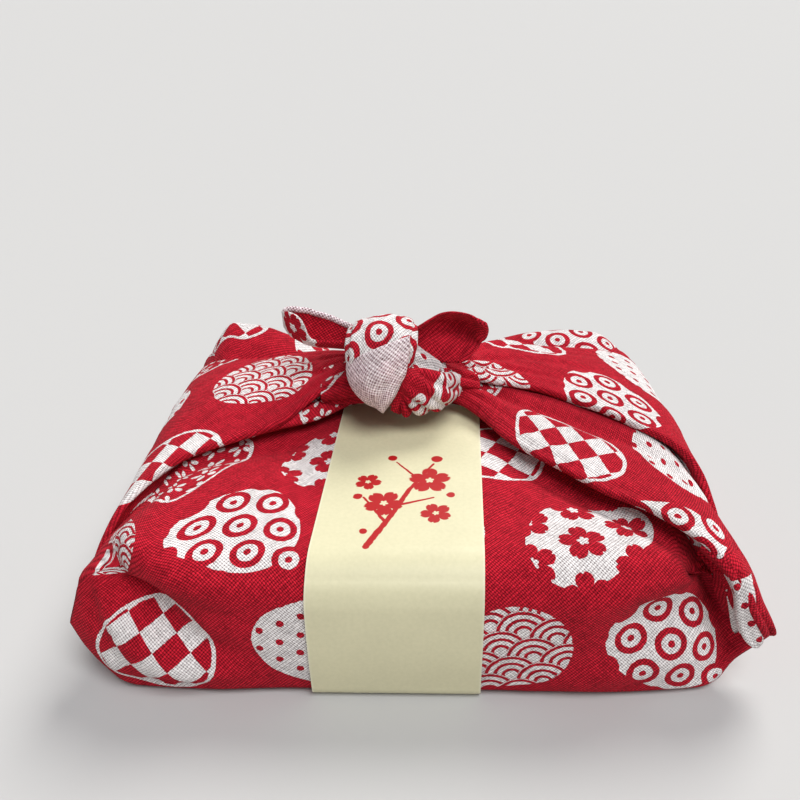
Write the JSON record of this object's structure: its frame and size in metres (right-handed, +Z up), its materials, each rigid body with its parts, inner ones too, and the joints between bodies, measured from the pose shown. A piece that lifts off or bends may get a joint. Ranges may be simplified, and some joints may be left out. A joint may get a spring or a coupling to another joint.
{
  "type": "furoshiki-wrapped gift parcel",
  "caption": "Flat gift parcel wrapped in a square of printed cotton, tied on top in a knot with two short tails, with a plain paper band round it.",
  "frame": {"origin": "on the surface the parcel rests on, under the middle of the parcel's body", "axes": "+Z up, +X along the parcel's width to the right, -Y towards the front, where the light flap of the knot hangs"},
  "size_m": [0.2131, 0.1596, 0.0873],
  "materials": {
    "printed_cotton": "matte open-weave cotton, red with white medallions",
    "cream_paper": "smooth uncoated cream paper with a red blossom ornament"
  },
  "bodies": {
    "root": {"cloth": "printed_cotton", "paper_band": "cream_paper"}
  },
  "joints": []
}
